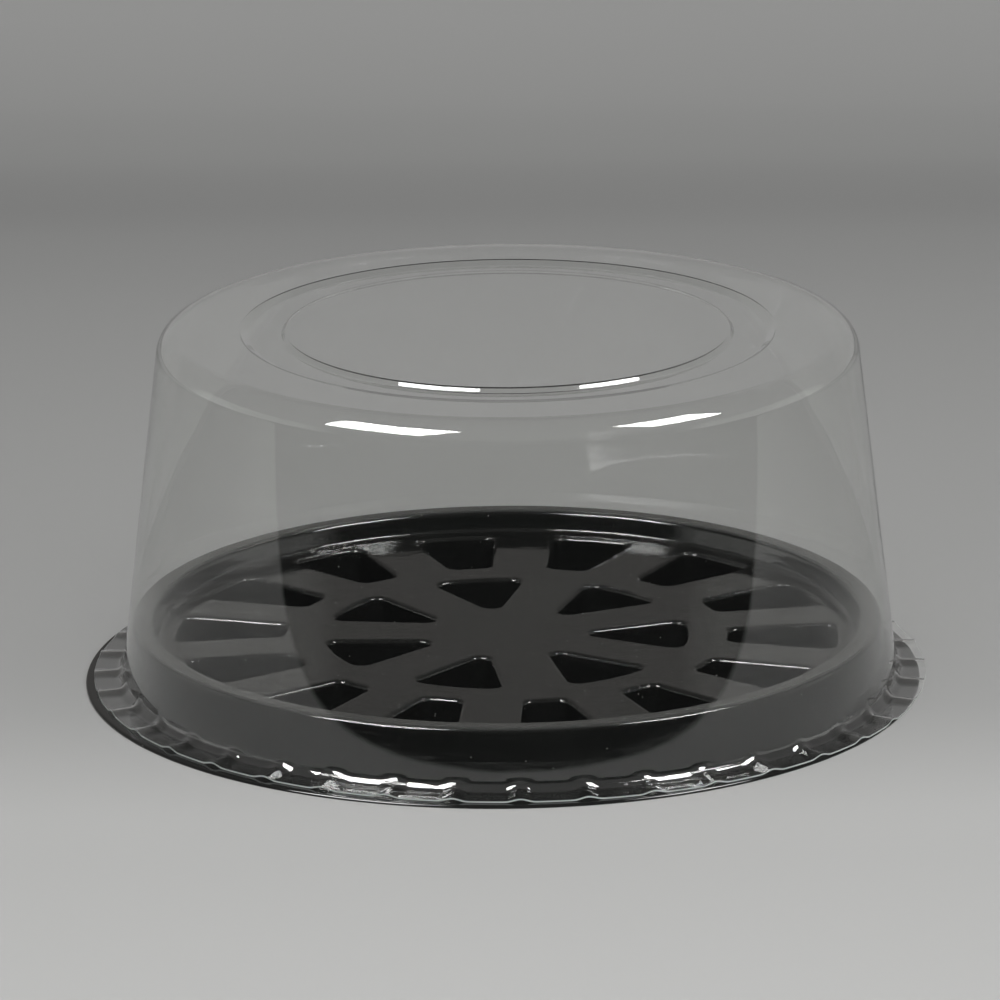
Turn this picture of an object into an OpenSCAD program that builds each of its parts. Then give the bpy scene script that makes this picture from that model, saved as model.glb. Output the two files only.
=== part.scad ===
// Round two-piece dome tray: a black formed tray with wells in its deck,
// and a clear domed lid with a scalloped rim that lifts straight off it.
// Both pieces are thin formed sheet, so each one is an outline turned about the Z axis
// and given one even wall. Millimetres, +Z up, origin on the table under the middle of the ring.

/* [Tray] */
// Diameter over the tray's flat flange
flange_d = 275.8; // [275:0.2:284]
// How far to the right of the ring's centre the flange is trimmed
trim_x = -1.4; // [-2:0.1:2]
// How far behind the ring's centre the flange is trimmed
trim_y = -2.3; // [-2.5:0.1:2.5]
// Height of the raised ring that locates the lid
ring_h = 21.1; // [19.5:0.1:26]
// Diameter of the raised ring at its top edge
ring_d = 247.6; // [244:0.2:247.6]
// Width of the flat land on top of the ring
ring_land = 7; // [5:0.5:10]
// Height of the deck that the contents stand on
deck_h = 14; // [10:0.5:16]
// Thickness of the tray's sheet
tray_sheet = 0.7; // [0.5:0.1:1]

/* [Wells] */
// Number of long wells around the edge of the deck
outer_wells = 14; // [7:1:14]
// Number of three-cornered wells around its centre
inner_wells = 7; // [5:1:7]
// Angle by which the ring of wells is turned
well_turn = -3.5; // [-12:0.5:12]
// Draft of the well walls, in degrees
well_draft = 7; // [3:1:8]

/* [Lid] */
// Height of the lid's flat top above the table
lid_h = 118.5; // [100:0.5:130]
// Diameter over the lid's scalloped rim
rim_d = 275.2; // [272:0.2:276]
// Diameter of the lid's wall where it meets the rim
wall_d = 256.6; // [256:0.1:257]
// Draft of the lid's wall, in degrees
wall_draft = 6.8; // [5:0.1:8]
// Radius of the rounded shoulder under the top
shoulder_r = 8; // [5:0.5:10]
// Thickness of the lid's sheet
lid_sheet = 0.5; // [0.4:0.1:0.7]
// How far the lid lies off centre, within its play on the ring
lid_offset = 1; // [0:0.1:1]

/* [Rim ribs] */
// Number of ribs, one between each two scallops of the rim
ribs = 40; // [24:1:40]
// Angle by which the ribs are turned
rib_turn = 1.2; // [0:0.1:9]
// Height of a rib above the flat of a scallop
rib_h = 1.1; // [0.9:0.1:1.4]
// Width of a rib at its foot
rib_w = 7.4; // [6:0.2:8]

/* [Stacking groove] */
// Diameter of the groove's middle, in the lid's top
groove_d = 160.5; // [130:0.5:170]
// Width of the groove at the top
groove_w = 14.5; // [10:0.5:16]
// Depth of the groove
groove_depth = 1.6; // [1.2:0.1:2.4]

/* [Hidden] */

$fn = 180;

// Tray section
flange_top = 1.0;
lip_r = 0.8;
lip_reach = 2;
ring_draft = 6.8;
ring_edge_r = 1.8;
ring_inner_r = 2.0;
ring_inner_fall = 1.7;
deck_fillet = 1.7;
foot_fillet = 3;
ring_r = ring_d / 2;
ring_foot_r = ring_r + (ring_h - flange_top) * tan(ring_draft);
deck_r = ring_r - ring_land - ring_inner_fall;
trim_r = flange_d / 2 - lip_r;
well_margin = 5.1;

// Wells: each is a wedge whose sides meet at an apex on the way to the centre
well_floor = tray_sheet;
outer_in = 73.4;
outer_out = deck_r - well_margin;
outer_apex = 40.9;
outer_half = 11.7;
inner_out = 60;
inner_apex = 22.2;
inner_half = 23.4;
well_corner = 3.2;
inner_in = 0;
corner_steps = 4;
wide_steps = 6;
tiny = 0.01;

// Lid section
lid_gap = 0.1;
rim_z = flange_top + lid_gap;
rim_top = rim_z + lid_sheet;
rim_fillet = 4;
wall_foot_r = wall_d / 2;
wall_top_r = wall_foot_r - (lid_h - rim_top) * tan(wall_draft);
groove_in = (groove_d - groove_w) / 2;
groove_out = (groove_d + groove_w) / 2;
groove_side = 1.5;
groove_round = 0.8;

// Ribs: a round back that runs along the rim and curves up into the wall
rib_r = (rib_w * rib_w / 4 + rib_h * rib_h) / (2 * rib_h);
rib_sweep = 5.8;
rib_bend_r = 132.9;
rib_bend_z = rim_top + rib_h + rib_sweep;
rib_axis_depth = rib_sweep + rib_r;
rib_short = 0.2;
back_half = 45;
back_steps = 6;
bend_steps = 4;
below = 20;
over = 1;

// Points along an arc from angle a to angle b
function arc(centre, r, a, b, steps) =
    [for (i = [0:steps]) centre + r * [cos(a + (b - a) * i / steps), sin(a + (b - a) * i / steps)]];

// Unit vector from p to q, and the same turned to the left
function along(p, q) = (q - p) / norm(q - p);
function left(v) = [-v[1], v[0]];

// One corner of a path as an arc of radius r that touches both its sides
function corner(p, at, q, r) =
    let (a = along(at, p), b = along(at, q), half = acos(a * b) / 2)
    let (centre = at + (a + b) / norm(a + b) * r / sin(half))
    let (from = at + a * r / tan(half) - centre)
    let (start = atan2(from[1], from[0]), sweep = sign(cross(-a, b)) * (180 - 2 * half))
    arc(centre, r, start, start + sweep, ceil(r / 2) + 1);

// A path of [x, z, radius] corners with every corner rounded
function rounded(path) =
    [for (i = [0:len(path) - 1])
        let (at = [path[i][0], path[i][1]])
        each (i == 0 || i == len(path) - 1) ? [at]
            : corner([path[i - 1][0], path[i - 1][1]], at, [path[i + 1][0], path[i + 1][1]], path[i][2])];

// A path moved sideways by d, to the right of its direction
function beside(path, d) =
    [for (i = [0:len(path) - 1])
        let (u = along(path[max(i - 1, 0)], path[max(i, 1)]))
        let (v = along(path[min(i, len(path) - 2)], path[min(i + 1, len(path) - 1)]))
        path[i] - d * (left(u) + left(v)) / (1 + u * v)];

function reversed(list) = [for (i = [len(list) - 1:-1:0]) list[i]];

// The tray's upper face, from the centre of the deck out over the flange
tray_face = rounded([
    [0, deck_h, 0],
    [deck_r, deck_h, deck_fillet],
    [ring_r - ring_land, ring_h, ring_inner_r],
    [ring_r, ring_h, ring_edge_r],
    [ring_foot_r, flange_top, foot_fillet],
    [trim_r + norm([trim_x, trim_y]), flange_top, 0]]);

// The flange's turned-down lip, which has the trimming die's centre
lip_face = rounded([
    [flange_d / 2 - lip_reach, flange_top, 0],
    [flange_d / 2, flange_top, lip_r],
    [flange_d / 2, 0, 0]]);

// The lid's upper face, from the centre of its top out to the edge of the rim
lid_face = rounded([
    [0, lid_h, 0],
    [groove_in, lid_h, groove_round],
    [groove_in + groove_side, lid_h - groove_depth, groove_round],
    [groove_out - groove_side, lid_h - groove_depth, groove_round],
    [groove_out, lid_h, groove_round],
    [wall_top_r, lid_h, shoulder_r],
    [wall_foot_r, rim_top, rim_fillet],
    [rim_d / 2, rim_top, 0]]);

// How much wider than at the deck a well is at height z, because its walls slope
function well_grow(z) = (z - deck_h) * tan(well_draft);

// A well seen from above: two straight sides, a wide end that is an arc about the
// tray's centre, and a narrow end that is flat at r_in or, if that is too far in, round
function well_outline(apex, half, r_in, r_out, grow) =
    let (r = well_corner + grow, reach = r_out - well_corner)
    let (edge = half - asin((apex * sin(half) + well_corner) / reach))
    let (step = 2 * edge / wide_steps, wide = reach * [cos(edge), sin(edge)])
    let (x = max(r_in + well_corner, apex + well_corner / sin(half)))
    let (y = (x - apex) * tan(half) - well_corner / cos(half), turn = 90 + half)
    concat(
        arc([wide[0], -wide[1]], r, -turn, -edge, corner_steps),
        arc([0, 0], reach + r, step - edge, edge - step, wide_steps - 2),
        arc(wide, r, edge, turn, corner_steps),
        y < tiny ? arc([x, 0], r, turn + step, 360 - turn - step, corner_steps)
            : concat(arc([x, y], r, turn + step, 180, corner_steps),
                arc([x, -y], r, 180, 360 - turn - step, corner_steps)));

// A solid drawn through a row of rings that have the same number of points
module skin(rings) {
    n = len(rings[0]);
    last = len(rings) - 1;
    polyhedron(
        points = [for (ring = rings) each ring],
        faces = [
            [for (i = [0:n - 1]) i],
            [for (i = [n - 1:-1:0]) last * n + i],
            for (j = [0:last - 1]) for (i = [0:n - 1]) let (m = (i + 1) % n)
                [j * n + i, (j + 1) * n + i, (j + 1) * n + m, j * n + m]]);
}

// The space inside every well, or with a wall the solid around it, from z_low to z_high
module wells(z_low, z_high, wall = 0) {
    module ring_of(count, apex, half, r_in, r_out) {
        rings = [for (z = [z_low, z_high])
            [for (p = well_outline(apex, half, r_in, r_out, well_grow(z) + wall)) [p[0], p[1], z]]];
        for (i = [0:count - 1])
            rotate([0, 0, well_turn + 360 * i / count]) skin(rings);
    }
    ring_of(outer_wells, outer_apex, outer_half, outer_in, outer_out);
    ring_of(inner_wells, inner_apex, inner_half, inner_in, inner_out);
}

// A sheet of even thickness under a face, turned about the Z axis
module turned_sheet(face, sheet) {
    rotate_extrude() polygon(concat(face, reversed(beside(face, sheet))));
}

// Black tray: one sheet that is a turned-down lip, flange, raised ring and deck with wells
module base_tray() {
    color([0.05, 0.05, 0.055])
    difference() {
        union() {
            intersection() {
                turned_sheet(tray_face, tray_sheet);
                translate([trim_x, trim_y, -over]) cylinder(r = trim_r, h = ring_h + 2 * over);
            }
            translate([trim_x, trim_y, 0]) turned_sheet(lip_face, tray_sheet);
            wells(0, deck_h - tray_sheet / 2, tray_sheet / cos(well_draft));
        }
        wells(well_floor, deck_h + over);
    }
}

// Everything under a face of the lid, down to below the table
module lid_solid(face, reach) {
    rotate_extrude() polygon(concat(face, [[reach, face[len(face) - 1][1]], [reach, -below], [0, -below]]));
}

// The backs of all the ribs: each runs in along the rim, then bends up into the wall
module rib_backs(r, end) {
    // Cross-section as [sideways, depth below the centre of the bend]
    round_back = [for (i = [0:back_steps]) let (a = back_half * (2 * i / back_steps - 1))
        [r * sin(a), rib_axis_depth - r * cos(a)]];
    section = concat(round_back, [for (side = [1, -1]) [side * r * sin(back_half), rib_axis_depth]]);
    // Where a cross-section stands: its distance out and how far it is tipped
    places = concat([[end, 0]], [for (i = [0:bend_steps]) [rib_bend_r, 90 * i / bend_steps]]);
    rings = [for (at = places) [for (p = section)
        [at[0] - p[1] * sin(at[1]), p[0], rib_bend_z - p[1] * cos(at[1])]]];
    for (i = [0:ribs - 1])
        rotate([0, 0, rib_turn + 360 * i / ribs]) skin(rings);
}

// Clear lid: one sheet with a stacking groove, round shoulder, drafted wall and ribbed rim
module dome_lid() {
    color([0.8, 0.85, 0.85, 0.4])
    translate([lid_offset, 0, 0])
    difference() {
        union() {
            lid_solid(lid_face, rim_d / 2);
            rib_backs(rib_r, rim_d / 2 - rib_short);
        }
        lid_solid(beside(lid_face, lid_sheet), rim_d / 2 + over);
        rib_backs(rib_r - lid_sheet, rim_d / 2 + over);
    }
}

base_tray();
dome_lid();
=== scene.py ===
# %% [markdown]
# # A round dome tray: gloss black base, clear lift-off lid
# Both pieces are thin plastic sheet that was heated and sucked over a mould. So each one is
# built here the way a mould maker thinks of it: one surface, then an even wall thickness.
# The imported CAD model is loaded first. It says where everything is and which body moves.

# %% Load the frame
import math

import bmesh
import bpy
from mathutils import Matrix, Vector


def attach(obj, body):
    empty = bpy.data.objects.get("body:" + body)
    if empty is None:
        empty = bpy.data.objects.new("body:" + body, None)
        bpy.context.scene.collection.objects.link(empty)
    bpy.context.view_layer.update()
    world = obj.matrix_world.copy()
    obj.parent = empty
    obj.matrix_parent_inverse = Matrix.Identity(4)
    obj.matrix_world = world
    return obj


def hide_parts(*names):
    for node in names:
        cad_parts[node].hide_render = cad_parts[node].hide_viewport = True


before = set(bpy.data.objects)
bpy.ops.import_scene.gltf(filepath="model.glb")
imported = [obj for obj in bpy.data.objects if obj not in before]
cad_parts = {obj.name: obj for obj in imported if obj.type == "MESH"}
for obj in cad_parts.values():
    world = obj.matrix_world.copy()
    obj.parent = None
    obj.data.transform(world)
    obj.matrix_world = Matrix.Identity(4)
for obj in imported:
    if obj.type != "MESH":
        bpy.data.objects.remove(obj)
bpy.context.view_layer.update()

# %% [markdown]
# ## The camera
# The tray is seen from a low three-quarter height through a long lens, so its ovals are
# nearly free of perspective. The camera's axes are written out as a matrix, because then
# its slight roll is a plain turn about the view line.

# %% Camera
CAMERA_PLACE = Vector((-0.0019, -2.3994, 0.7724))
CAMERA_PITCH = 0.2888
CAMERA_ROLL = -0.0072
CAMERA_LENS = 273.64
CAMERA_SENSOR = 36
CAMERA_CLIP = (0.1, 40)


def aim_camera():
    """A long lens that looks along +Y and a little down."""
    data = bpy.data.cameras.new("camera")
    data.lens = CAMERA_LENS
    data.sensor_width = CAMERA_SENSOR
    data.clip_start, data.clip_end = CAMERA_CLIP
    camera = bpy.data.objects.new("camera", data)
    bpy.context.scene.collection.objects.link(camera)
    right = Vector((1, 0, 0))
    up = Vector((0, math.sin(CAMERA_PITCH), math.cos(CAMERA_PITCH)))
    back = Vector((0, -math.cos(CAMERA_PITCH), math.sin(CAMERA_PITCH)))
    c, s = math.cos(CAMERA_ROLL), math.sin(CAMERA_ROLL)
    turned = Matrix((c * right + s * up, c * up - s * right, back)).transposed()
    camera.matrix_world = Matrix.Translation(CAMERA_PLACE) @ turned.to_4x4()
    bpy.context.scene.camera = camera
    return camera


camera = aim_camera()
bpy.context.scene.view_settings.view_transform = "Standard"
print("camera at", [round(v, 3) for v in camera.matrix_world.translation])

# %% [markdown]
# ## Drawing with a pen of vertices
# An outline is drawn like a pen stroke. A straight run is an Extrude of the last vertex, and
# a rounded corner is a Spin of it about the corner's centre, so every radius is a true arc.
# The corner's centre comes from its two sides, as on a drawing board.

# %% Pen helpers
MM = 0.001
NEAR = 0.01
ARC_STEP = math.radians(9)


def start_piece(name):
    """A new object in edit mode that is one vertex at the origin."""
    bpy.ops.object.select_all(action="DESELECT")
    bpy.ops.mesh.primitive_plane_add(size=MM)
    piece = bpy.context.object
    piece.name = piece.data.name = name
    bpy.ops.object.mode_set(mode="EDIT")
    bpy.ops.mesh.merge(type="CENTER")
    return piece


class Pen:
    """Draws with the selected vertex in the XZ plane (a section) or the XY plane (an outline)."""

    def __init__(self, section):
        self.section = section
        self.at = Vector((0, 0))

    def place(self, p):
        """A point of the drawing, in millimetres, as a place in the scene."""
        return (p[0] * MM, 0, p[1] * MM) if self.section else (p[0] * MM, p[1] * MM, 0)

    def jump(self, p):
        """Moves the pen without drawing."""
        bpy.ops.transform.translate(value=self.place(Vector(p) - self.at))
        self.at = Vector(p)

    def line(self, p, parts=1):
        """Draws straight to a point, in equal parts."""
        step = (Vector(p) - self.at) / parts
        for _ in range(parts):
            bpy.ops.mesh.extrude_region_move(TRANSFORM_OT_translate={"value": self.place(step)})
        self.at = Vector(p)

    def arc(self, centre, turn, step=ARC_STEP):
        """Turn is anticlockwise in the plane of the drawing."""
        axis = (0, 1, 0) if self.section else (0, 0, 1)
        bpy.ops.mesh.spin(steps=max(2, round(abs(turn) / step)), angle=turn if self.section else -turn,
                          center=self.place(centre), axis=axis)
        self.at = centre + Matrix.Rotation(turn, 2) @ (self.at - centre)

    def corner(self, at, to, radius, parts=1):
        """Goes towards at and rounds the corner there, ready to go on towards to."""
        at, to = Vector(at), Vector(to)
        a, b = (self.at - at).normalized(), (to - at).normalized()
        half = a.angle(b) / 2
        centre = at + (a + b).normalized() * radius / math.sin(half)
        turn = math.pi - 2 * half
        self.line(at + a * radius / math.tan(half), parts)
        self.arc(centre, turn if a.cross(b) < 0 else -turn)


def select_where(piece, wanted):
    """Selects the vertices whose place passes the test, and nothing else."""
    mesh = bmesh.from_edit_mesh(piece.data)
    bpy.ops.mesh.select_all(action="DESELECT")
    for vertex in mesh.verts:
        vertex.select = wanted(vertex.co / MM)
    mesh.select_flush(True)
    bmesh.update_edit_mesh(piece.data)
    return sum(v.select for v in mesh.verts)


def spin_round(piece, steps):
    """Turns the drawn section once round Z and joins the seam."""
    bpy.ops.mesh.select_all(action="SELECT")
    bpy.ops.mesh.spin(steps=steps, angle=math.tau, center=(0, 0, 0), axis=(0, 0, 1))
    bpy.ops.mesh.select_all(action="SELECT")
    bpy.ops.mesh.remove_doubles(threshold=NEAR * MM)


def face_up(piece):
    """Makes the faces agree, with the moulded face upwards and outwards."""
    bpy.ops.mesh.select_all(action="SELECT")
    bpy.ops.mesh.normals_make_consistent(inside=False)
    mesh = bmesh.from_edit_mesh(piece.data)
    if sum(f.normal.z * f.calc_area() for f in mesh.faces) < 0:
        bpy.ops.mesh.flip_normals()


def apply_modifier(piece, kind, **settings):
    """Adds a modifier, sets it and applies it."""
    bpy.context.view_layer.objects.active = piece
    bpy.ops.object.modifier_add(type=kind)
    modifier = piece.modifiers[-1]
    for key, value in settings.items():
        setattr(modifier, key, value)
    bpy.ops.object.modifier_apply(modifier=modifier.name)


print("pen helpers ready")

# %% [markdown]
# ## The wells
# Stiffening wells are pressed into the deck of the tray: fourteen long ones around the edge
# and seven three-cornered ones inside them. A well could be cut out with a boolean, but a
# formed sheet has soft edges, and a row of small insets gives them directly: a narrow flat
# border, a lip that rolls over, a wall with a draft of a few degrees, and a foot that rolls
# into the floor. The border keeps the deck's shading flat right up to the lip.

# %% Well helpers
DECK_Z = 14.0
SHEET = 0.7
WELL_TURN = math.radians(-3.5)
WELL_DRAFT = math.radians(7)
LIP_R = 1.5
FOOT_R = 2.0
CORNER_R = 3.5
LIP_STEPS, FOOT_STEPS = 4, 6
WIDE_STEP = math.radians(1.5)
SIDE_PARTS = 4
SHORTEST_END = 0.05
WELD = 0.02
LIP_FLAT = 0.4
LIP_REACH = LIP_FLAT + LIP_R * math.tan((math.pi / 2 - WELL_DRAFT) / 2)


def roll(radius, start, end, steps):
    """Insets that follow an arc: how far in and how far down each one goes."""
    angles = [start + (end - start) * i / steps for i in range(steps + 1)]
    return [(radius * abs(math.sin(b) - math.sin(a)), radius * abs(math.cos(b) - math.cos(a)))
            for a, b in zip(angles, angles[1:])]


def sink_well():
    """Insets the selected face down to the floor of the well."""
    steep = math.pi / 2 - WELL_DRAFT
    lip, foot = roll(LIP_R, 0, steep, LIP_STEPS), roll(FOOT_R, steep, 0, FOOT_STEPS)
    fall = DECK_Z - SHEET - sum(d for _, d in lip + foot)
    for inward, down in [(LIP_FLAT, 0)] + lip + [(fall * math.tan(WELL_DRAFT), fall)] + foot:
        bpy.ops.mesh.inset(thickness=inward * MM, depth=-down * MM, use_even_offset=True)


def draw_well(name, apex, half, r_in, r_out):
    """One well on the X axis: straight sides from an apex, a wide end about the centre."""
    piece = start_piece(name)
    pen = Pen(section=False)
    reach = r_out + LIP_REACH
    r = CORNER_R + LIP_REACH
    tip = apex - LIP_REACH / math.sin(half)
    # The wide end's corner circles touch the outer arc and one straight side.
    edge = half - math.asin((tip * math.sin(half) + r) / (reach - r))
    wide = Vector((math.cos(edge), math.sin(edge))) * (reach - r)
    pen.jump(Vector((math.cos(edge), -math.sin(edge))) * reach)
    pen.arc(Vector((0, 0)), 2 * edge, step=WIDE_STEP)
    pen.arc(wide, math.pi / 2 + half - edge)
    x_end = r_in - LIP_REACH
    if x_end > tip + r / math.sin(half) - r:
        y_end = (x_end + r - tip) * math.tan(half) - r / math.cos(half)
        low = Vector((x_end + r, y_end))
        pen.line(low + Vector((-math.sin(half), math.cos(half))) * r, parts=SIDE_PARTS)
        pen.arc(low, math.pi / 2 - half)
        if y_end > SHORTEST_END:
            pen.line((x_end, -y_end))
        pen.arc(Vector((x_end + r, -y_end)), math.pi / 2 - half)
    else:
        middle = Vector((tip + r / math.sin(half), 0))
        pen.line(middle + Vector((-math.sin(half), math.cos(half))) * r, parts=SIDE_PARTS)
        pen.arc(middle, math.pi - 2 * half)
    low_wide = Vector((wide.x, -wide.y))
    pen.line(low_wide + Vector((-math.sin(half), -math.cos(half))) * r, parts=SIDE_PARTS)
    pen.arc(low_wide, math.pi / 2 + half - edge)
    bpy.ops.mesh.select_all(action="SELECT")
    bpy.ops.mesh.remove_doubles(threshold=WELD * MM)
    bpy.ops.mesh.edge_face_add()
    bpy.ops.transform.translate(value=(0, 0, DECK_Z * MM))
    face_up(piece)
    sink_well()
    bpy.ops.object.mode_set(mode="OBJECT")
    return piece


def ring_of(piece, count):
    """Repeats a well round the deck."""
    bpy.ops.object.select_all(action="DESELECT")
    piece.select_set(True)
    bpy.context.view_layer.objects.active = piece
    bpy.ops.object.mode_set(mode="EDIT")
    bpy.ops.mesh.select_all(action="SELECT")
    bpy.ops.mesh.spin(steps=count, dupli=True, angle=math.tau, center=(0, 0, 0), axis=(0, 0, 1))
    bpy.ops.mesh.select_all(action="SELECT")
    bpy.ops.mesh.remove_doubles(threshold=0.001 * MM)
    bpy.ops.mesh.spin(steps=1, dupli=True, angle=-WELL_TURN, center=(0, 0, 0), axis=(0, 0, 1))
    bpy.ops.mesh.select_all(action="INVERT")
    bpy.ops.mesh.delete(type="VERT")
    bpy.ops.object.mode_set(mode="OBJECT")
    print(piece.name, count, "wells,", len(piece.data.polygons), "faces")


# %% Make the wells
OUTER_COUNT, INNER_COUNT = 14, 7
outer_wells = draw_well("outer_wells", apex=40.9, half=math.radians(11.7), r_in=73.4, r_out=109.2)
ring_of(outer_wells, OUTER_COUNT)
inner_wells = draw_well("inner_wells", apex=22.2, half=math.radians(23.4), r_in=0, r_out=60.0)
ring_of(inner_wells, INNER_COUNT)

# %% [markdown]
# ## The tray
# The section runs from the edge of the deck, up over the ring that locates the lid, and down
# to the flange and its turned-down lip. Spin turns it into the formed surface, Fill closes
# the deck around the mouths of the wells, and Solidify gives the sheet its even thickness.

# %% Tray helpers
TRAY_STEPS = 320
DECK_R = 115.1
DECK_FILLET = 1.7
RING_TOP = 21.1
RING_IN_R, RING_OUT_R = 116.8, 123.8
RING_IN_EDGE, RING_OUT_EDGE = 2.0, 1.8
RING_FOOT_R = 126.2
FLANGE_R = 137.9
FLANGE_Z = 1.0
FLANGE_FILLET, FLANGE_EDGE = 3.0, 0.8
DECK_BORDER = 1.0
TRIM_SHIFT = (-1.4, -2.3)
TRIM_BAND = 2.0
SHARP_ANGLE = math.radians(40)
FLAT_PULL = 80


def draw_tray_section():
    """The moulded face of the tray outside its deck."""
    rise = math.atan2(RING_TOP - DECK_Z, RING_IN_R - DECK_R)
    pen = Pen(section=True)
    fillet_r = DECK_R - DECK_FILLET * math.tan(rise / 2)
    pen.jump((fillet_r - DECK_BORDER, DECK_Z))
    pen.line((fillet_r, DECK_Z), parts=2)
    pen.arc(pen.at + Vector((0, DECK_FILLET)), rise)
    pen.corner((RING_IN_R, RING_TOP), (RING_OUT_R, RING_TOP), RING_IN_EDGE, parts=3)
    pen.corner((RING_OUT_R, RING_TOP), (RING_FOOT_R, FLANGE_Z), RING_OUT_EDGE, parts=3)
    pen.corner((RING_FOOT_R, FLANGE_Z), (FLANGE_R, FLANGE_Z), FLANGE_FILLET, parts=6)
    pen.corner((FLANGE_R, FLANGE_Z), (FLANGE_R, 0), FLANGE_EDGE, parts=2)
    pen.line((FLANGE_R, 0))


def fill_deck(piece):
    """Closes the deck between its edge and the mouths of the wells."""
    bpy.ops.mesh.select_all(action="DESELECT")
    mesh = bmesh.from_edit_mesh(piece.data)
    for edge in mesh.edges:
        if edge.is_boundary and all(abs(v.co.z / MM - DECK_Z) < NEAR for v in edge.verts):
            edge.select = True
    mesh.select_flush_mode()
    bmesh.update_edit_mesh(piece.data)
    bpy.ops.mesh.fill(use_beauty=True)


def finish_sheet(piece, thickness, rim_slot=0):
    """Gives a formed surface its wall, below the moulded face, and smooth shading."""
    bpy.ops.object.mode_set(mode="OBJECT")
    apply_modifier(piece, "SOLIDIFY", thickness=thickness * MM, offset=-1, use_even_offset=True,
                   use_quality_normals=True, material_offset_rim=rim_slot)
    bpy.ops.object.select_all(action="DESELECT")
    piece.select_set(True)
    bpy.context.view_layer.objects.active = piece
    bpy.ops.object.shade_smooth_by_angle(angle=SHARP_ANGLE)
    apply_modifier(piece, "WEIGHTED_NORMAL", mode="FACE_AREA_WITH_ANGLE", weight=FLAT_PULL,
                   keep_sharp=True)


# %% Make the tray
formed_tray = start_piece("formed_tray")
draw_tray_section()
spin_round(formed_tray, TRAY_STEPS)
face_up(formed_tray)
select_where(formed_tray, lambda co: math.hypot(co.x, co.y) > FLANGE_R - TRIM_BAND)
bpy.ops.transform.translate(value=(TRIM_SHIFT[0] * MM, TRIM_SHIFT[1] * MM, 0))
bpy.ops.object.mode_set(mode="OBJECT")
for wells in (outer_wells, inner_wells):
    wells.select_set(True)
formed_tray.select_set(True)
bpy.context.view_layer.objects.active = formed_tray
bpy.ops.object.join()
bpy.ops.object.mode_set(mode="EDIT")
fill_deck(formed_tray)
face_up(formed_tray)
finish_sheet(formed_tray, SHEET)
print("tray", len(formed_tray.data.polygons), "faces")

# %% [markdown]
# ## The clear lid
# The lid is another spun section: flat top, stacking groove, round shoulder, drafted wall
# and a flat rim. Its rim is stiffened by forty ribs. Each rib is the same sheet pushed out
# along its normals, so a vertex group says how far each vertex rises and Displace moves it.

# %% Lid helpers
RIBS = 40
LID_STEPS = 18 * RIBS
LID_SHEET = 0.5
LID_TOP = 118.5
LID_SHIFT = 1.0
RIM_R = 137.6
RIM_Z = 1.6
WALL_FOOT_R = 128.3
WALL_DRAFT = math.radians(6.8)
SHOULDER_R = 8.0
FLARE_Z, FLARE_LEAN = 2.4, math.radians(34)
FLARE_TOP_R, FLARE_FOOT_R = 3.0, 2.6
GROOVE_IN, GROOVE_OUT = 73.0, 87.5
GROOVE_FALL, GROOVE_ROUND = 1.6, 0.9
GROOVE_BORDER = 2.0
INNER_SIDE, OUTER_SIDE = 1.15, 2.9
RIB_TURN = math.radians(1.2)
RIB_H, RIB_HALF = 1.3, 4.8
RIB_COVE = 3.6
RIB_MOST = 2.0
RIB_LEAST = 0.001
RIB_CLEAR = 0.4
RIB_TOP_Z = RIM_Z + RIB_H + RIB_COVE * (1 - math.sin(WALL_DRAFT))
RIB_END_R, RIB_END = 132.0, 0.7


def draw_lid_section():
    """The outer face of the lid, from the flat of its top out to the cut edge of its rim."""
    top_r = WALL_FOOT_R - (LID_TOP - RIM_Z) * math.tan(WALL_DRAFT)
    floor_z = LID_TOP - GROOVE_FALL
    pen = Pen(section=True)
    pen.jump((GROOVE_IN - GROOVE_BORDER, LID_TOP))
    floor_in, floor_out = (GROOVE_IN + INNER_SIDE, floor_z), (GROOVE_OUT - OUTER_SIDE, floor_z)
    pen.corner((GROOVE_IN, LID_TOP), floor_in, GROOVE_ROUND)
    pen.corner(floor_in, floor_out, GROOVE_ROUND)
    pen.corner(floor_out, (GROOVE_OUT, LID_TOP), GROOVE_ROUND, parts=3)
    pen.corner((GROOVE_OUT, LID_TOP), (top_r, LID_TOP), GROOVE_ROUND)
    pen.corner((top_r, LID_TOP), (WALL_FOOT_R, RIM_Z), SHOULDER_R, parts=3)
    low = RIB_TOP_Z + RIB_CLEAR
    pen.line((WALL_FOOT_R - (low - RIM_Z) * math.tan(WALL_DRAFT), low), parts=4)
    flare_r = WALL_FOOT_R - FLARE_Z * math.tan(WALL_DRAFT)
    flare_foot = (flare_r + FLARE_Z * math.tan(FLARE_LEAN), RIM_Z)
    pen.corner((flare_r, RIM_Z + FLARE_Z), flare_foot, FLARE_TOP_R, parts=6)
    pen.corner(flare_foot, (RIM_R, RIM_Z), FLARE_FOOT_R, parts=2)
    pen.line((RIM_R, RIM_Z), parts=6)


def ease(t):
    """0 to 1 with a soft start and end."""
    t = min(1, max(0, t))
    return t * t * (3 - 2 * t)


def crest_rise(r, z):
    """How far a rib's crest stands off the plain lid: a round cove from wall to rim."""
    top = RIM_Z + RIB_H
    wall_r = WALL_FOOT_R - RIB_H * math.tan(WALL_DRAFT)
    cove_r = wall_r + RIB_COVE * math.tan((math.pi / 2 - WALL_DRAFT) / 2)
    cove_z = top + RIB_COVE
    if r > cove_r:
        out = min(1, max(0, (r - RIB_END_R) / (RIM_R - RIB_END_R)))
        return RIB_H * (1 - (1 - RIB_END) * out)
    return max(0, math.hypot(cove_r - r, max(0, cove_z - z)) - RIB_COVE)


def rib_rise(co):
    """How far the sheet rises at a point of the plain lid."""
    r = math.hypot(co.x, co.y)
    pitch = math.tau / RIBS
    aside = (math.atan2(co.y, co.x) - RIB_TURN + pitch / 2) % pitch - pitch / 2
    return ease(1 - abs(aside) * r / RIB_HALF) * crest_rise(r, co.z)


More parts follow.
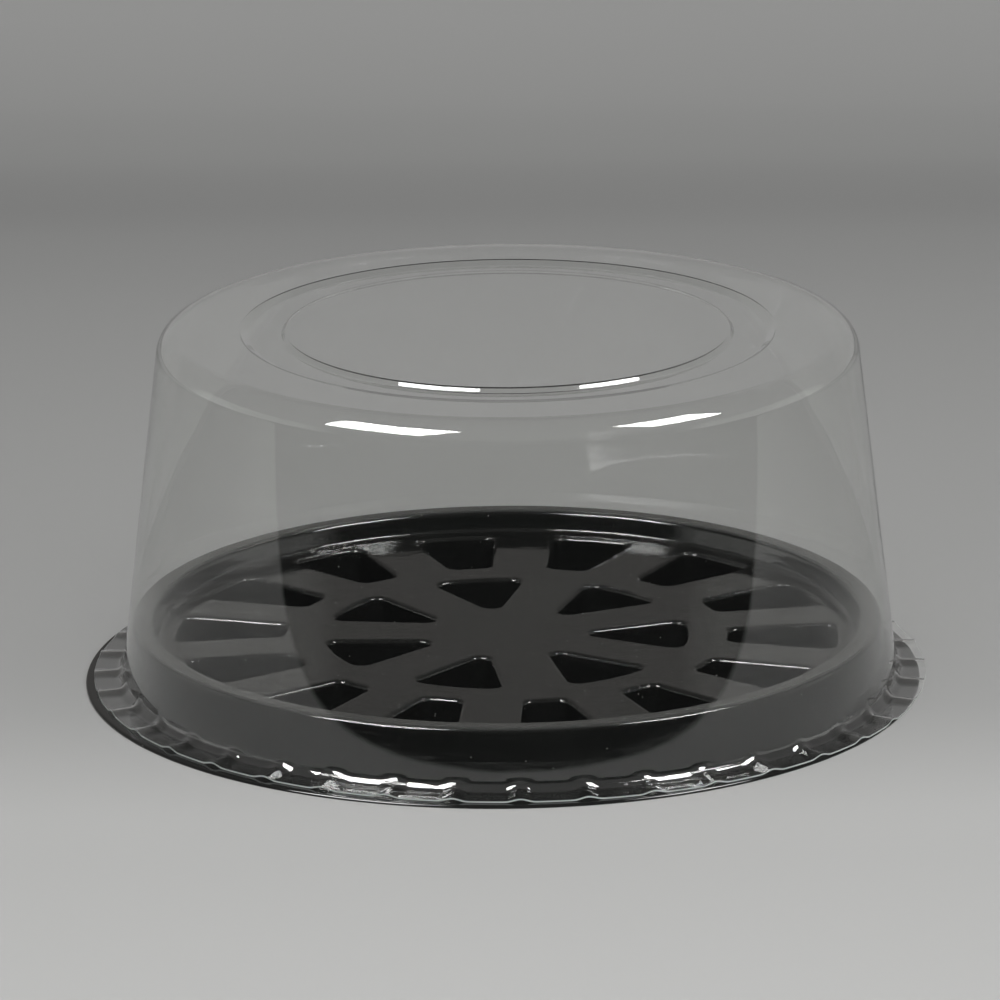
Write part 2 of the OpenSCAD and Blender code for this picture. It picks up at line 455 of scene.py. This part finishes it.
def raise_ribs(piece):
    """Weights the ribs by place and lets Displace push them out."""
    group = piece.vertex_groups.new(name="ribs")
    for vertex in piece.data.vertices:
        rise = rib_rise(vertex.co / MM) if vertex.co.z < RIB_TOP_Z * MM else 0
        if rise > RIB_LEAST:
            group.add([vertex.index], rise / RIB_MOST, "REPLACE")
    apply_modifier(piece, "DISPLACE", direction="NORMAL", mid_level=0, strength=RIB_MOST * MM,
                   vertex_group="ribs")
    piece.vertex_groups.clear()


# %% Make the lid
clear_lid = start_piece("clear_lid")
draw_lid_section()
spin_round(clear_lid, LID_STEPS)
flat_r = GROOVE_IN - GROOVE_BORDER + NEAR
select_where(clear_lid, lambda co: co.z > LID_TOP - NEAR and math.hypot(co.x, co.y) < flat_r)
bpy.ops.mesh.edge_face_add()
face_up(clear_lid)
bpy.ops.object.mode_set(mode="OBJECT")
raise_ribs(clear_lid)
for _ in ("sheet", "cut edge"):
    bpy.ops.object.material_slot_add()
finish_sheet(clear_lid, LID_SHEET, rim_slot=1)
bpy.ops.object.mode_set(mode="EDIT")
bpy.ops.mesh.select_all(action="SELECT")
bpy.ops.transform.translate(value=(LID_SHIFT * MM, 0, 0))
bpy.ops.object.mode_set(mode="OBJECT")
edge_faces = sum(p.material_index for p in clear_lid.data.polygons)
print("lid", len(clear_lid.data.polygons), "faces,", edge_faces, "of them on the cut edge")

# %% [markdown]
# ## Finishes
# A small helper adds and wires nodes, so that each material reads as a list of its parts.

# %% Node helpers
def new_material(name):
    """A node material that holds only its output."""
    material = bpy.data.materials.new(name)
    material.use_nodes = True
    material.node_tree.nodes.clear()
    return material, material.node_tree


def add_node(tree, kind, inputs=None, **settings):
    """Adds a node, sets it, and wires or fills its inputs."""
    node = tree.nodes.new(kind)
    for key, value in settings.items():
        setattr(node, key, value)
    for key, value in (inputs or {}).items():
        if isinstance(value, bpy.types.NodeSocket):
            tree.links.new(value, node.inputs[key])
        else:
            node.inputs[key].default_value = value
    return node


def object_coordinates(tree):
    """The place on the piece itself, so that a finish moves with its piece."""
    return add_node(tree, "ShaderNodeTexCoord").outputs["Object"]


# %% [markdown]
# ### What both sheets share
# Hot sheet copies its mould only softly. Up close its surface is a fine orange peel. A wall
# that was drawn down keeps faint upright streaks, and the turned mould leaves faint ripples
# that run round. All are heights for a Bump node, and dust is a mask, so one node group can
# serve the black and the clear plastic.

# %% Formed sheet group
UPRIGHT_SQUEEZE = 0.04
AROUND_SQUEEZE = 0.02
DUST_RARITY = 0.75


def make_sheet_group():
    """Peel, upright streaks and round ripples as one height, soft patches and dust as masks."""
    group = bpy.data.node_groups.new("formed_sheet", "ShaderNodeTree")
    for name, value in (("Peel Scale", 260.0), ("Streak Share", 0.0), ("Ripple Share", 0.0),
                        ("Patch Scale", 28.0), ("Dust Scale", 350.0)):
        socket = group.interface.new_socket(name, in_out="INPUT", socket_type="NodeSocketFloat")
        socket.default_value = value
    for name in ("Height", "Patches", "Dust"):
        group.interface.new_socket(name, in_out="OUTPUT", socket_type="NodeSocketFloat")
    values = group.nodes.new("NodeGroupInput").outputs
    where = object_coordinates(group)
    peel = add_node(group, "ShaderNodeTexNoise", {"Vector": where, "Scale": values["Peel Scale"],
                                                  "Detail": 2.0})
    upright = add_node(group, "ShaderNodeMapping", {"Vector": where,
                                                    "Scale": (1.0, 1.0, UPRIGHT_SQUEEZE)})
    streaks = add_node(group, "ShaderNodeTexNoise", {"Vector": upright.outputs["Vector"],
                                                     "Scale": 55.0, "Detail": 1.0})
    plain = add_node(group, "ShaderNodeMix", {0: values["Streak Share"], 2: peel.outputs["Fac"],
                                              3: streaks.outputs["Fac"]})
    place = add_node(group, "ShaderNodeSeparateXYZ", {0: where})
    x, y, z = (place.outputs[name] for name in "XYZ")
    angle = add_node(group, "ShaderNodeMath", {0: y, 1: x}, operation="ARCTAN2")
    slow = add_node(group, "ShaderNodeMath", {0: angle.outputs[0], 1: AROUND_SQUEEZE},
                    operation="MULTIPLY")
    flat = add_node(group, "ShaderNodeCombineXYZ", {0: x, 1: y})
    reach = add_node(group, "ShaderNodeVectorMath", {0: flat.outputs[0]}, operation="LENGTH")
    around = add_node(group, "ShaderNodeCombineXYZ", {0: slow.outputs[0], 1: reach.outputs["Value"],
                                                      2: z})
    ripples = add_node(group, "ShaderNodeTexNoise", {"Vector": around.outputs[0],
                                                     "Scale": 400.0, "Detail": 1.5})
    height = add_node(group, "ShaderNodeMix", {0: values["Ripple Share"], 2: plain.outputs[0],
                                               3: ripples.outputs["Fac"]})
    patches = add_node(group, "ShaderNodeTexNoise", {"Vector": where, "Scale": values["Patch Scale"],
                                                     "Detail": 3.0})
    cells = add_node(group, "ShaderNodeTexVoronoi", {"Vector": where, "Scale": values["Dust Scale"]})
    near = add_node(group, "ShaderNodeMapRange", {"Value": cells.outputs["Distance"], "From Min": 0.05,
                                                  "From Max": 0.08, "To Min": 1.0, "To Max": 0.0})
    pick = add_node(group, "ShaderNodeSeparateColor", {"Color": cells.outputs["Color"]})
    some = add_node(group, "ShaderNodeMath", {0: pick.outputs[0], 1: DUST_RARITY},
                    operation="GREATER_THAN")
    dust = add_node(group, "ShaderNodeMath", {0: near.outputs["Result"], 1: some.outputs[0]},
                    operation="MULTIPLY")
    add_node(group, "NodeGroupOutput", {"Height": height.outputs[0], "Patches": patches.outputs["Fac"],
                                        "Dust": dust.outputs[0]})
    return group


sheet_group = make_sheet_group()
print("group", sheet_group.name, [item.name for item in sheet_group.interface.items_tree])

# %% [markdown]
# ### Gloss black plastic
# Black polystyrene shows almost nothing but reflections, so most of its finish is in its roughness:
# glossy where it touched the air, a little duller in patches where hands rubbed it and
# on the flat of the ring, where trays in a stack and lids rub. That flat also gets a pale grey
# colour, a painted sheen that stands for the light it mirrors.

# %% Black sheet
BLACK_LOW, BLACK_HIGH = (0.0080, 0.0087, 0.0082, 1), (0.0105, 0.0112, 0.0105, 1)
# The first grey is a painted sheen for the flat of the ring, standing for the light it mirrors; its
# share also makes that flat rougher. The second grey is dust.
LAND_SHEEN_GREY, DUSTY = (0.32, 0.32, 0.31, 1), (0.25, 0.25, 0.24, 1)
LAND_ROUGH_AND_SHEEN = 0.14


def make_black_sheet():
    """Near-black gloss, duller on the ring's land and painted pale there as a sheen, with sparse dust.
    """
    material, tree = new_material("gloss_black_sheet")
    skin = add_node(tree, "ShaderNodeGroup", {"Ripple Share": 0.85}, node_tree=sheet_group)
    bump = add_node(tree, "ShaderNodeBump", {"Height": skin.outputs["Height"], "Strength": 0.25,
                                             "Distance": 0.0003})
    place = add_node(tree, "ShaderNodeSeparateXYZ", {0: object_coordinates(tree)})
    high = add_node(tree, "ShaderNodeMapRange", {"Value": place.outputs["Z"], "From Min": 0.0204,
                                                 "From Max": 0.0210, "To Max": LAND_ROUGH_AND_SHEEN})
    gloss = add_node(tree, "ShaderNodeMapRange", {"Value": skin.outputs["Patches"], "From Min": 0.35,
                                                  "From Max": 0.7, "To Min": 0.05, "To Max": 0.09})
    rough = add_node(tree, "ShaderNodeMath", {0: gloss.outputs["Result"], 1: high.outputs["Result"]},
                     operation="ADD")
    tone = add_node(tree, "ShaderNodeMix", {"Factor": skin.outputs["Patches"], 6: BLACK_LOW,
                                            7: BLACK_HIGH}, data_type="RGBA")
    # Painted sheen: the ring's land is mixed towards a pale grey that stands for the light it mirrors.
    land_sheen = add_node(tree, "ShaderNodeMix", {"Factor": high.outputs["Result"], 6: tone.outputs[2],
                                              7: LAND_SHEEN_GREY}, data_type="RGBA")
    dusty = add_node(tree, "ShaderNodeMix", {"Factor": skin.outputs["Dust"], 6: land_sheen.outputs[2],
                                             7: DUSTY}, data_type="RGBA")
    shader = add_node(tree, "ShaderNodeBsdfPrincipled",
                      {"Base Color": dusty.outputs[2], "Roughness": rough.outputs[0],
                       "Normal": bump.outputs["Normal"], "IOR": 1.45})
    add_node(tree, "ShaderNodeOutputMaterial", {"Surface": shader.outputs["BSDF"]})
    return material


black_sheet = make_black_sheet()
formed_tray.data.materials.clear()
formed_tray.data.materials.append(black_sheet)
print(black_sheet.name, len(black_sheet.node_tree.nodes), "nodes")

# %% [markdown]
# ### Clear sheet
# The lid is real glass-like sheet with both its faces, so light bends and reflects at each.
# Shadow rays and soft bounced rays pass through as if it were plain clear, which keeps the
# tray inside well lit and throws no false glow on the floor.
# Where the sheet was cut, its edge is frosted and catches light as a thin pale line.

# %% Clear sheet
def make_clear_sheet(name, colour, roughness, transmission):
    """Glass for the camera and for mirrored rays, plain transparency for shadows and soft light."""
    material, tree = new_material(name)
    skin = add_node(tree, "ShaderNodeGroup", {"Peel Scale": 45.0, "Streak Share": 0.6},
                    node_tree=sheet_group)
    bump = add_node(tree, "ShaderNodeBump", {"Height": skin.outputs["Height"], "Strength": 0.25,
                                             "Distance": 0.0003})
    glass = add_node(tree, "ShaderNodeBsdfPrincipled",
                     {"Base Color": colour, "Roughness": roughness, "IOR": 1.5,
                      "Transmission Weight": transmission, "Normal": bump.outputs["Normal"]})
    clear = add_node(tree, "ShaderNodeBsdfTransparent", {"Color": (0.95, 0.95, 0.95, 1)})
    path = add_node(tree, "ShaderNodeLightPath")
    plain = add_node(tree, "ShaderNodeMath", {0: path.outputs["Is Shadow Ray"],
                                              1: path.outputs["Is Diffuse Ray"]},
                     operation="MAXIMUM")
    mix = add_node(tree, "ShaderNodeMixShader", {0: plain.outputs[0], 1: glass.outputs["BSDF"],
                                                 2: clear.outputs["BSDF"]})
    add_node(tree, "ShaderNodeOutputMaterial", {"Surface": mix.outputs["Shader"]})
    return material


clear_sheet = make_clear_sheet("clear_sheet", (0.985, 0.99, 0.98, 1), 0.0, 1.0)
cut_edge = make_clear_sheet("frosted_cut_edge", (0.80, 0.85, 0.83, 1), 0.4, 0.25)
clear_lid.data.materials[0] = clear_sheet
clear_lid.data.materials[1] = cut_edge
print([material.name for material in clear_lid.data.materials])

# %% [markdown]
# ## The studio
# The floor is a flat plane whose grey carries painted light: lighter in front where the lamps fall,
# darker towards a painted shade line where a paper sweep would turn, and lighter again behind it.
# It ends a little in front of the tray for mirrored rays only, as a table does,
# so that the polished walls mirror a dark room there. From below it can be seen through.

# %% Floor
# Painted light: these tones make the floor lighter in front, darker towards a shade line at 0.634 m
# and lighter behind it, in place of lamp falloff and a sweep's turn.
FLOOR_GREY_AND_PAINTED_LIGHT = ((-0.32, 0.55), (-0.20, 0.53), (-0.13, 0.52), (-0.04, 0.425), (0.10, 0.403),
               (0.30, 0.396), (0.48, 0.374), (0.58, 0.347), (0.634, 0.33), (0.70, 0.372),
               (0.80, 0.437), (0.97, 0.52), (1.2, 0.55))
TABLE_EDGE_Y, TABLE_EDGE_SLOPE = -0.22, 0.06
EDGE_BLUR = 0.008
FLOOR_SIZE = 24
FLOOR_WARMTH = 0.985
FLOOR_DARK = (0.02, 0.02, 0.02, 1)


def make_floor():
    """A wide plane whose grey follows the tone table, pairs of distance back and tone; the tones paint
    the lamps' falloff and a sweep's shade.
    """
    bpy.ops.object.select_all(action="DESELECT")
    bpy.ops.mesh.primitive_plane_add(size=FLOOR_SIZE)
    floor = bpy.context.object
    floor.name = "floor"
    material, tree = new_material("floor_grey_painted_light")
    where = add_node(tree, "ShaderNodeSeparateXYZ", {0: object_coordinates(tree)})
    low, high = FLOOR_GREY_AND_PAINTED_LIGHT[0][0], FLOOR_GREY_AND_PAINTED_LIGHT[-1][0]
    along = add_node(tree, "ShaderNodeMapRange", {"Value": where.outputs["Y"], "From Min": low,
                                                  "From Max": high})
    # The ramp paints the light's falloff and the sweep's shade line into the floor's grey.
    ramp = add_node(tree, "ShaderNodeValToRGB", {"Fac": along.outputs["Result"]})
    ramp.color_ramp.interpolation = "CARDINAL"
    stops = ramp.color_ramp.elements
    while len(stops) < len(FLOOR_GREY_AND_PAINTED_LIGHT):
        stops.new(0.5)
    for stop, (y, tone) in zip(stops, FLOOR_GREY_AND_PAINTED_LIGHT):
        stop.position = (y - low) / (high - low)
        stop.color = (tone, tone, tone * FLOOR_WARMTH, 1)
    path = add_node(tree, "ShaderNodeLightPath")
    slope = add_node(tree, "ShaderNodeMath", {0: where.outputs["X"], 1: -TABLE_EDGE_SLOPE,
                                              2: where.outputs["Y"]}, operation="MULTIPLY_ADD")
    front = add_node(tree, "ShaderNodeMapRange",
                     {"Value": slope.outputs[0], "From Min": TABLE_EDGE_Y - EDGE_BLUR,
                      "From Max": TABLE_EDGE_Y + EDGE_BLUR, "To Min": 1.0, "To Max": 0.0})
    # A ray that only passed through the lid has a glossy depth of 0 and sees the grey floor.
    mirrored = add_node(tree, "ShaderNodeMath", {0: path.outputs["Is Glossy Ray"],
                                                 1: path.outputs["Glossy Depth"]},
                        operation="MINIMUM")
    dark = add_node(tree, "ShaderNodeMath", {0: front.outputs["Result"], 1: mirrored.outputs[0]},
                    operation="MULTIPLY")
    lit = add_node(tree, "ShaderNodeBsdfDiffuse", {"Color": ramp.outputs["Color"]})
    black = add_node(tree, "ShaderNodeBsdfDiffuse", {"Color": FLOOR_DARK})
    mix = add_node(tree, "ShaderNodeMixShader", {0: dark.outputs[0], 1: lit.outputs[0],
                                                 2: black.outputs[0]})
    under = add_node(tree, "ShaderNodeNewGeometry").outputs["Backfacing"]
    clear = add_node(tree, "ShaderNodeBsdfTransparent")
    seen = add_node(tree, "ShaderNodeMixShader", {0: under, 1: mix.outputs[0], 2: clear.outputs[0]})
    add_node(tree, "ShaderNodeOutputMaterial", {"Surface": seen.outputs["Shader"]})
    floor.data.materials.append(material)
    return floor


floor = make_floor()
print("floor", [round(v, 2) for v in floor.dimensions], "metres")

# %% [markdown]
# ## The surround and the lamps
# Gloss is made of what it mirrors, so the surround is planned like a room: each wall of it is
# placed where the tray or the lid would look for it. Light Path tells the world what kind of
# ray is asking, so that a camera ray only ever sees the plain backdrop.

# %% World and lamps
SKY, SHINE = (0.33, 0.33, 0.33, 1), (0.42, 0.42, 0.42, 1)
BACKDROP = (0.200, 0.193, 0.187, 1)
ROOM_DARK, ROOM_PALE = (0.020, 0.025, 0.023, 1), (0.045, 0.052, 0.048, 1)
PANEL = (1.25, 1.25, 1.22, 1)


def make_world():
    """Pale above and behind, a dark room low down on the camera's side, a lit panel on each side.

    The panels only show in the gloss under the lid, so they don't light the floor.
    """
    world = bpy.data.worlds.new("studio")
    bpy.context.scene.world = world
    world.use_nodes = True
    tree = world.node_tree
    tree.nodes.clear()
    way = add_node(tree, "ShaderNodeSeparateXYZ",
                   {0: add_node(tree, "ShaderNodeTexCoord").outputs["Generated"]})
    low = add_node(tree, "ShaderNodeMapRange", {"Value": way.outputs["Z"], "From Min": 0.20,
                                                "From Max": 0.42, "To Min": 1.0, "To Max": 0.0})
    front = add_node(tree, "ShaderNodeMapRange", {"Value": way.outputs["Y"], "From Min": -0.15,
                                                  "From Max": 0.1, "To Min": 1.0, "To Max": 0.0})
    camera_side = add_node(tree, "ShaderNodeMath", {0: low.outputs["Result"],
                                                    1: front.outputs["Result"]},
                           operation="MULTIPLY")
    path = add_node(tree, "ShaderNodeLightPath")
    # A ray from the camera that only passed through the lid sees the plain backdrop as well.
    passed = add_node(tree, "ShaderNodeMath", {0: path.outputs["Is Transmission Ray"],
                                               1: path.outputs["Glossy Depth"]},
                      operation="SUBTRACT", use_clamp=True)
    straight = add_node(tree, "ShaderNodeMath", {0: path.outputs["Is Camera Ray"],
                                                 1: passed.outputs[0]}, operation="ADD")
    turned = add_node(tree, "ShaderNodeMath", {0: 1.0, 1: straight.outputs[0]}, operation="SUBTRACT")
    dark = add_node(tree, "ShaderNodeMath", {0: camera_side.outputs[0], 1: turned.outputs[0]},
                    operation="MULTIPLY")
    backdrop = add_node(tree, "ShaderNodeMix", {"Factor": path.outputs["Is Diffuse Ray"], 6: BACKDROP,
                                                7: SKY}, data_type="RGBA")
    # Only the first mirror image in the perfectly smooth lid sees the brighter shine.
    first = add_node(tree, "ShaderNodeMath", {0: path.outputs["Is Singular Ray"],
                                              1: path.outputs["Is Transmission Ray"]},
                     operation="SUBTRACT", use_clamp=True)
    pale = add_node(tree, "ShaderNodeMix", {"Factor": first.outputs[0], 6: backdrop.outputs[2],
                                            7: SHINE}, data_type="RGBA")
    aside = add_node(tree, "ShaderNodeMath", {0: way.outputs["X"], 1: way.outputs["Y"]},
                     operation="ARCTAN2")
    stands = add_node(tree, "ShaderNodeTexNoise", {"W": aside.outputs[0], "Scale": 9.0,
                                                   "Detail": 2.0}, noise_dimensions="1D")
    stripes = add_node(tree, "ShaderNodeMapRange", {"Value": stands.outputs["Fac"],
                                                    "From Min": 0.42, "From Max": 0.58})
    room = add_node(tree, "ShaderNodeMix", {"Factor": stripes.outputs["Result"], 6: ROOM_DARK,
                                            7: ROOM_PALE}, data_type="RGBA")
    colour = add_node(tree, "ShaderNodeMix", {"Factor": dark.outputs[0], 6: pale.outputs[2],
                                              7: room.outputs[2]}, data_type="RGBA")
    sideways = add_node(tree, "ShaderNodeMath", {0: way.outputs["X"]}, operation="ABSOLUTE")
    beside = add_node(tree, "ShaderNodeMapRange", {"Value": sideways.outputs[0], "From Min": 0.82,
                                                   "From Max": 0.92})
    under = add_node(tree, "ShaderNodeMapRange", {"Value": way.outputs["Z"], "From Min": 0.26,
                                                  "From Max": 0.34, "To Min": 1.0, "To Max": 0.0})
    panel = add_node(tree, "ShaderNodeMath", {0: beside.outputs["Result"], 1: under.outputs["Result"]},
                     operation="MULTIPLY")
    leaving = add_node(tree, "ShaderNodeMath", {0: path.outputs["Is Transmission Ray"],
                                                1: turned.outputs[0]}, operation="MULTIPLY")
    shown = add_node(tree, "ShaderNodeMath", {0: panel.outputs[0], 1: leaving.outputs[0]},
                     operation="MULTIPLY")
    lit = add_node(tree, "ShaderNodeMix", {"Factor": shown.outputs[0], 6: colour.outputs[2], 7: PANEL},
                   data_type="RGBA")
    background = add_node(tree, "ShaderNodeBackground", {"Color": lit.outputs[2]})
    add_node(tree, "ShaderNodeOutputWorld", {"Surface": background.outputs[0]})


def soft_box(name, azimuth, height, distance, width, tall, watts):
    """A rectangular lamp that faces the tray. Azimuth is from the camera's side, to the right."""
    data = bpy.data.lights.new(name, "AREA")
    data.shape = "RECTANGLE"
    data.size, data.size_y = width, tall
    data.energy = watts
    lamp = bpy.data.objects.new(name, data)
    bpy.context.scene.collection.objects.link(lamp)
    a, e = math.radians(azimuth), math.radians(height)
    lamp.location = (distance * math.cos(e) * math.sin(a), -distance * math.cos(e) * math.cos(a),
                     distance * math.sin(e))
    lamp.rotation_euler = lamp.location.to_track_quat("Z", "Y").to_euler()
    lamp.visible_camera = False
    return lamp


make_world()
# Two boxes that the gloss mirrors, and one broad lamp overhead that lights the colours.
left_box = soft_box("left_box", azimuth=-45.5, height=46, distance=1.35, width=0.72, tall=0.66,
                    watts=38)
right_box = soft_box("right_box", azimuth=64.5, height=48, distance=1.35, width=0.54, tall=0.48,
                     watts=22)
left_box.visible_diffuse = right_box.visible_diffuse = False
overhead = soft_box("overhead", azimuth=12, height=60, distance=1.85, width=1.6, tall=1.2,
                    watts=24)
overhead.visible_glossy = overhead.visible_transmission = False

# %% [markdown]
# ## Hand over
# Each piece stands for its CAD node, which is hidden, and moves with that node's body.

# %% Hand over
for piece, node, body in ((formed_tray, "base_tray", "tray"), (clear_lid, "dome_lid", "lid")):
    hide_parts(node)
    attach(piece, body)
